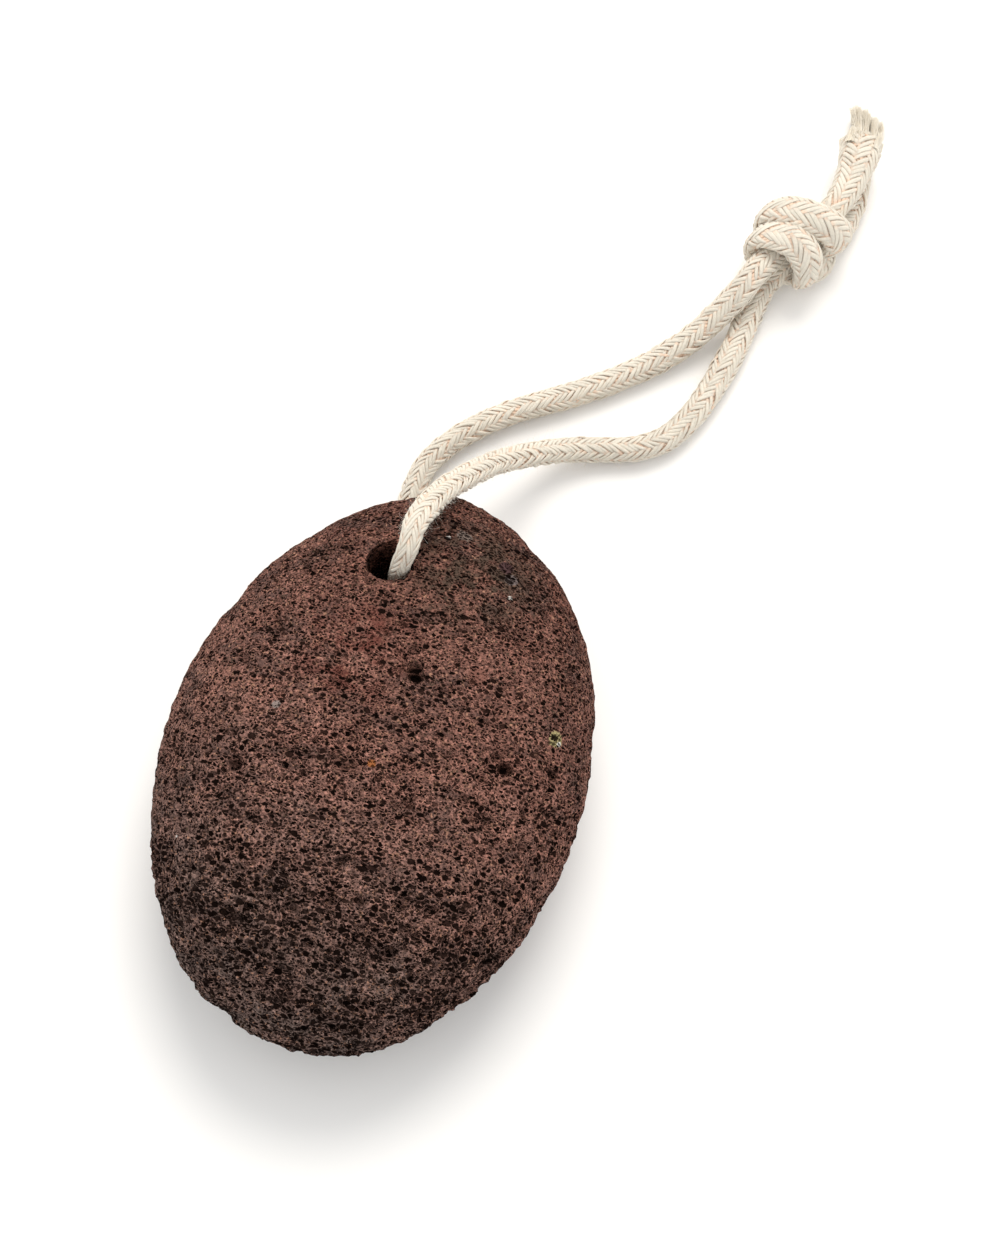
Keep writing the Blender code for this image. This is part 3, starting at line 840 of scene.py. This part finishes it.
class PUMICE_OT_stone(bpy.types.Operator):
    """Make the stone, with its cord hole, pores, pits and chips."""

    bl_idname = "pumice.stone"
    bl_label = "Lava stone"

    def execute(self, context):
        settings = context.scene.pumice_stone
        finish = stone_material(settings)
        direction, quads = stone_grid(settings.cells)
        points = pebble(direction)
        points[:, 2] = np.maximum(points[:, 2] + CENTRE_HEIGHT, 0.0)
        points, normals, triangles = drilled(points, quads, finish)
        open_here = openness(points)
        grit = GRIT * np.random.default_rng(7).normal(0, 1, len(points))
        small = bubbles(points, normals, settings.pore_spacing, *SMALL_BUBBLES, 11)
        large = bubbles(points, normals, settings.pit_spacing, *LARGE_BUBBLES, 12)
        hills = sum(height * rough_noise(points, cell, seed) for cell, seed, height in HILLS) + grit
        small, large, hills = (
            value * np.clip(factor * open_here + more, least, most)
            for value, (factor, more, least, most) in (
                (small, SMALL_SHOWN), (large, LARGE_SHOWN), (hills, HILLS_SHOWN)
            )
        )
        sunk = np.minimum(np.maximum(small, large), DEEPEST)
        for x, y, radius, deep in PITS:
            away = np.linalg.norm((points - on_top(x, y) * MM) * PIT_SHAPE, axis=1)
            sunk = np.maximum(sunk, deep * np.sqrt(np.maximum((radius * MM) ** 2 - away**2, 0)))
        zone = 0.5 + points[:, :2] / HALF[:2] @ ZONE_WAY
        points = points + normals * (hills * MM - sunk)[:, None]
        points[:, 2] = np.maximum(points[:, 2], 0.0)
        # How far each point is sunk is kept for the painted shade of the bubbles and pits.
        values = {"sunk": sunk / MM, "zone": zone, "open": open_here}
        stone = mesh_object("lava_stone", points, triangles, finish, **values)
        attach(stone, BODY)
        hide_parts("pumice_stone")
        return {"FINISHED"}


# Knot and ends

# The two strands' ways through the knot, along, across and above its middle, in millimetres: in
# under the wraps, round below, up the left side, over the top and in again, and out as an end.
KNOT_WAYS = (
    (
        (-7.0, 0.4, 1.0),
        (-3.5, 1.2, 0.4),
        (0.6, 1.2, 0.0),
        (3.6, -0.6, -1.6),
        (3.4, -1.8, -3.6),
        (1.4, 0.8, -4.7),
        (-0.6, 4.0, -4.4),
        (-0.8, 6.0, -2.0),
        (-0.5, 6.4, 1.4),
        (0.5, 5.0, 4.1),
        (1.8, 2.4, 5.3),
        (3.2, -0.8, 5.2),
        (4.5, -3.6, 3.7),
        (5.0, -5.0, 0.8),
        (3.8, -3.8, -1.0),
        (4.6, -1.0, 0.4),
        (8.0, -0.4, 1.6),
        (11.5, 0.4, 1.4),
        (15.5, 2.2, 0.6),
        (19.0, 4.2, 0.0),
        (21.5, 5.8, -0.6),
    ),
    (
        (-7.0, -0.9, -3.6),
        (-3.8, -0.9, -2.0),
        (0.0, -1.8, -1.0),
        (2.4, -3.6, -1.8),
        (1.2, -4.6, -4.0),
        (-1.6, -2.6, -4.9),
        (-4.2, 1.0, -4.7),
        (-4.8, 3.4, -3.0),
        (-5.0, 4.4, 0.4),
        (-4.4, 3.4, 3.4),
        (-3.4, 1.4, 4.9),
        (-2.3, -1.6, 5.0),
        (-2.3, -4.4, 3.4),
        (-3.0, -5.9, 0.4),
        (-2.0, -4.8, -2.4),
        (1.8, -3.4, -2.8),
        (6.0, -2.2, -2.6),
        (10.0, -1.8, -3.8),
        (15.0, 0.4, -4.6),
        (20.0, 4.0, -4.8),
        (25.0, 7.8, -4.8),
    ),
)
# The shares of its length between which a strand wraps the knot, over how much of it the wraps
# press it flat, and how far.
WRAPS_FROM, WRAPS_TO = 0.36, 0.66
PRESS_FADE, PRESSED = 0.1, 0.67
# A strand's radius, in millimetres, at shares of its length; the two ends differ.
STRAND_SHARES = (0, 0.1, 0.3, 0.7, 0.8, 1)
STRAND_RADII = (2.5, 2.4, 3.25, 3.25, 2.4)
END_RADII = (3.8, 2.1)


def knot_place(points):
    """Points given along, across and above the knot's middle, in millimetres, as places."""
    points = np.asarray(points, float)
    flat = points[:, :1] * KNOT_ALONG + points[:, 1:2] * KNOT_ACROSS
    return (KNOT_CENTRE + flat + points[:, 2:] * np.array([0, 0, 1.0])) * MM


def pressed(path):
    """Vectors that flatten a strand against the knot's core: along each, the strand keeps 1 minus its
    squared length. They point away from the core's axis and fade out before and after the wraps."""
    tangent = np.gradient(path, axis=0)
    tangent /= np.linalg.norm(tangent, axis=1)[:, None]
    away = path - KNOT_CENTRE * MM
    away -= (away @ KNOT_ALONG)[:, None] * KNOT_ALONG
    away -= (away * tangent).sum(axis=1)[:, None] * tangent
    away /= np.linalg.norm(away, axis=1)[:, None] + 1e-9
    share = np.linspace(0, 1, len(path))
    fade_in = np.clip((share - WRAPS_FROM + PRESS_FADE) / PRESS_FADE, 0, 1)
    fade_out = np.clip((WRAPS_TO + PRESS_FADE - share) / PRESS_FADE, 0, 1)
    return away * (PRESSED * fade_in * fade_out)[:, None]


def joined(parts):
    """Several meshes as one: each is its points, its faces and any values of its points."""
    starts = np.cumsum([0] + [len(part[0]) for part in parts[:-1]])
    fields = [list(field) for field in zip(*parts)]
    fields[1] = [faces + first for faces, first in zip(fields[1], starts)]
    return [np.concatenate(field) for field in fields]


def knot_strand(number, step):
    """One strand's line through the knot, and its radius along it."""
    path = smooth_route(knot_place(KNOT_WAYS[number]) / MM, step)
    share = np.linspace(0, 1, len(path))
    return path, np.interp(share, STRAND_SHARES, (*STRAND_RADII, END_RADII[number])) * MM


class PUMICE_OT_knot(bpy.types.Operator):
    """Make the overhand knot tied in both strands, and the two ends that stick out of it."""

    bl_idname = "pumice.knot"
    bl_label = "Knot and ends"

    def execute(self, context):
        settings = context.scene.pumice_cord
        parts = []
        for number in range(len(KNOT_WAYS)):
            path, radius = knot_strand(number, settings.step)
            parts.append(braid(path, radius, settings.pitch, settings.step, 5 + number, pressed(path)))
        points, faces, ride, grain, shade = joined(parts)
        points[:, 2] = np.maximum(points[:, 2], KNOT_CLEARANCE)
        values = {"ride": ride, "grain": grain, "own_shade": shade}
        knot = mesh_object("knot_braid", points, faces, cotton(context), **values)
        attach(knot, BODY)
        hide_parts("cord_knot")
        path = smooth_route(CORD_ROUTE, settings.step)
        return {"FINISHED"}


# A fibre's rows, its curl for its bend and the radians of that curl, and how much it thins.
FIBRE_ROWS = 5
CURL, CURL_SWEEP = 0.35, 3.1
THINNING = 0.7
# Down: a fibre's thickness and how far it bends for its length, and how many grow on a millimetre
# of the loop and of a strand of the knot. None grow within CLEAR_OF_HOLE of the hole's axis, where
# the stone rubs them off.
DOWN_THICKNESS, DOWN_BEND = 0.016 * MM, 0.35
LOOP_DOWN, KNOT_DOWN = 26.0, 22.0
LOOP_DOWN_RADIUS = 2.2 * MM
CLEAR_OF_HOLE = 4.5 * MM
# A fibre of down starts at this share of the cord's radius. Its way is outwards by a share between
# two, and aside and along by about so much. Then the shape and scale of the gamma distribution of
# its length.
DOWN_START = 0.93
DOWN_OUTWARDS, DOWN_ASIDE, DOWN_ALONG = (0.1, 0.7), 0.7, 0.8
DOWN_LENGTH = 2.2, 0.36 * MM
# The frayed ends of the two strands: their length past the braid in millimetres, how far the yarns
# spread, how many yarns there are, and how many fibres. They start FRAYED_BACK inside the braid.
FRAYED = ((1.6, 0.30, 14, 1400), (5.8, 0.08, 13, 3000))
FRAYED_BACK = 2.0
FRAYED_THICKNESS, FRAYED_BEND = 0.09 * MM, 0.05
# The angle from one yarn to the next, how far a fibre lies from its yarn, round the strand in
# radians and across it, how much the yarns and their fibres lean, and the shares of the length
# between which a yarn ends, and of that a fibre.
SEED_ANGLE = 2.4
YARN_TURN, YARN_WIDTH = 0.09, 0.10 * MM
YARN_LEAN, FIBRE_LEAN = 0.13, 0.03
YARN_LENGTHS, FIBRE_LENGTHS = (0.62, 1.0), (0.75, 1.0)


def fibres(roots, ways, lengths, bend, thickness, seed):
    """Loose cotton fibres: from each root one runs off along its way, as a three-sided tube that
    thins to its tip. It leans over by a random direction times the square of the share of its
    length, so it curves evenly, and curls by another times about half a sine."""
    rng = np.random.default_rng(seed)
    share = np.linspace(0, 1, FIBRE_ROWS)
    lean = rng.normal(0, 1, (len(roots), 3)) * (bend * lengths)[:, None]
    curl = rng.normal(0, 1, (len(roots), 3)) * (bend * lengths * CURL)[:, None]
    line = roots[:, None] + (ways * lengths[:, None])[:, None] * share[:, None]
    line = line + lean[:, None] * (share**2)[:, None] + curl[:, None] * np.sin(CURL_SWEEP * share)[:, None]
    side = np.cross(ways, (0.31, 0.17, 0.94))
    side /= np.linalg.norm(side, axis=1)[:, None] + 1e-9
    up = np.cross(ways, side)
    angle = np.arange(3)[:, None] * 2 * np.pi / 3
    ring = side[:, None, None] * np.cos(angle) + up[:, None, None] * np.sin(angle)
    thin = thickness * (1 - THINNING * share)
    points = line[:, :, None] + ring * thin[:, None, None]
    starts = np.arange(len(roots)) * FIBRE_ROWS * 3
    faces = (tube_faces(FIBRE_ROWS, 3)[None] + starts[:, None, None]).reshape(-1, 4)
    return points.reshape(-1, 3), faces


def down_fibres(path, radius, press, per_mm, step, rng):
    """Down all round a cord: each fibre starts just under its surface and leans outwards, aside and
    along at random, and its length is drawn from a gamma distribution."""
    count = int(per_mm * len(path) * step / MM)
    tangent, side, up = carried_frames(path)
    shown = np.flatnonzero(np.linalg.norm(path[:, :2] - HOLE, axis=1) > CLEAR_OF_HOLE)
    at = rng.choice(shown, count)
    angle = rng.uniform(0, 2 * np.pi, count)
    outward = side[at] * np.cos(angle)[:, None] + up[at] * np.sin(angle)[:, None]
    around = np.cross(tangent[at], outward)
    reach = outward * (radius[at] * DOWN_START)[:, None]
    reach -= press[at] * (press[at] * reach).sum(axis=1)[:, None]
    ways = outward * rng.uniform(*DOWN_OUTWARDS, count)[:, None]
    ways += around * rng.normal(0, DOWN_ASIDE, count)[:, None]
    ways += tangent[at] * rng.normal(0, DOWN_ALONG, count)[:, None]
    ways /= np.linalg.norm(ways, axis=1)[:, None]
    lengths = rng.gamma(*DOWN_LENGTH, count)
    return fibres(path[at] + reach, ways, lengths, DOWN_BEND, DOWN_THICKNESS, 22)


def frayed_yarns(path, radius, length, spread, yarns, count, seed, rng):
    """The loose yarns past a strand's cut end: they fill its section as a sunflower's seeds do, each
    with its own way and length, and their fibres stay close to them."""
    tangent, side, up = (part[-1] for part in carried_frames(path))
    yarn = rng.integers(0, yarns, count)
    angle = (np.arange(yarns) * SEED_ANGLE)[yarn] + rng.normal(0, YARN_TURN, count)
    inside = np.sqrt((np.arange(yarns) + 0.6) / yarns)[yarn] * radius[-1]
    inside = inside + rng.normal(0, YARN_WIDTH, count)
    outward = side * np.cos(angle)[:, None] + up * np.sin(angle)[:, None]
    roots = path[-1] + outward * inside[:, None] - tangent * FRAYED_BACK * MM
    ways = tangent + outward * (spread * inside / radius[-1])[:, None]
    ways += rng.normal(0, YARN_LEAN, (yarns, 3))[yarn] + rng.normal(0, FIBRE_LEAN, (count, 3))
    ways /= np.linalg.norm(ways, axis=1)[:, None]
    shares = rng.uniform(*YARN_LENGTHS, yarns)[yarn] * rng.uniform(*FIBRE_LENGTHS, count)
    lengths = shares * (length + FRAYED_BACK) * MM
    return fibres(roots, ways, lengths, FRAYED_BEND, FRAYED_THICKNESS, seed)


def down_material():
    """Single cotton fibres, so thin that light passes through them: near white and matt."""
    made, tree, shader = new_material("loose cotton fibres")
    fill(tree, shader, Base_Color=linear("#e8e0d1"), Roughness=1.0, Specular_IOR_Level=0.1)
    fill(tree, shader, Subsurface_Weight=0.5, Subsurface_Radius=EVEN_SPREAD, Subsurface_Scale=0.06 * MM)
    return made


class PUMICE_OT_fibres(bpy.types.Operator):
    """Make the down on the cord and the frayed yarns of its two cut ends."""

    bl_idname = "pumice.fibres"
    bl_label = "Down and frayed ends"

    def execute(self, context):
        step = context.scene.pumice_cord.step
        rng = np.random.default_rng(21)
        loop = smooth_route(CORD_ROUTE, step)
        even, free = np.full(len(loop), LOOP_DOWN_RADIUS), np.zeros_like(loop)
        strands = [knot_strand(number, step) for number in range(len(KNOT_WAYS))]
        groups = {"loop_down": [down_fibres(loop, even, free, LOOP_DOWN, step, rng)]}
        groups["knot_down"] = [
            down_fibres(path, radius, pressed(path), KNOT_DOWN, step, rng) for path, radius in strands
        ]
        groups["frayed_ends"] = [
            frayed_yarns(*strand, *FRAYED[number], 23 + number, rng) for number, strand in enumerate(strands)
        ]
        finish = down_material()
        for name, group in groups.items():
            points, faces = joined(group)
            points[:, 2] = np.maximum(points[:, 2], FIBRE_CLEARANCE)
            down = mesh_object(name, points, faces, finish, smooth=False)
            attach(down, BODY)
        return {"FINISHED"}


class PUMICE_PT_panel(bpy.types.Panel):
    """Lists the pieces and the sizes that can be changed."""

    bl_label = "Pumice stone"
    bl_space_type = "VIEW_3D"
    bl_region_type = "UI"
    bl_category = "Pumice"

    def draw(self, context):
        for key, operators in PANEL_ROWS:
            box = self.layout.box()
            group = getattr(context.scene, key)
            for name in group.bl_rna.properties.keys():
                if name not in ("rna_type", "name"):
                    box.prop(group, name)
            for operator in operators:
                box.operator(operator)


PANEL_ROWS = (
    ("pumice_stage", ("pumice.stage",)),
    ("pumice_cord", ("pumice.cord", "pumice.knot", "pumice.fibres")),
    ("pumice_stone", ("pumice.stone",)),
)
GROUPS = (
    ("pumice_stage", StageSettings),
    ("pumice_cord", CordSettings),
    ("pumice_stone", StoneSettings),
)
OPERATORS = (PUMICE_OT_stage, PUMICE_OT_cord, PUMICE_OT_knot, PUMICE_OT_fibres, PUMICE_OT_stone)


def register():
    for _, group in GROUPS:
        bpy.utils.register_class(group)
    for operator in OPERATORS:
        bpy.utils.register_class(operator)
    bpy.utils.register_class(PUMICE_PT_panel)
    for key, group in GROUPS:
        setattr(bpy.types.Scene, key, bpy.props.PointerProperty(type=group))


def unregister():
    for key, _ in GROUPS:
        delattr(bpy.types.Scene, key)
    bpy.utils.unregister_class(PUMICE_PT_panel)
    for operator in reversed(OPERATORS):
        bpy.utils.unregister_class(operator)
    for _, group in reversed(GROUPS):
        bpy.utils.unregister_class(group)


def main():
    register()
    bpy.ops.pumice.stage()
    bpy.ops.pumice.cord()
    bpy.ops.pumice.knot()
    bpy.ops.pumice.fibres()
    bpy.ops.pumice.stone()


if __name__ == "__main__":
    main()
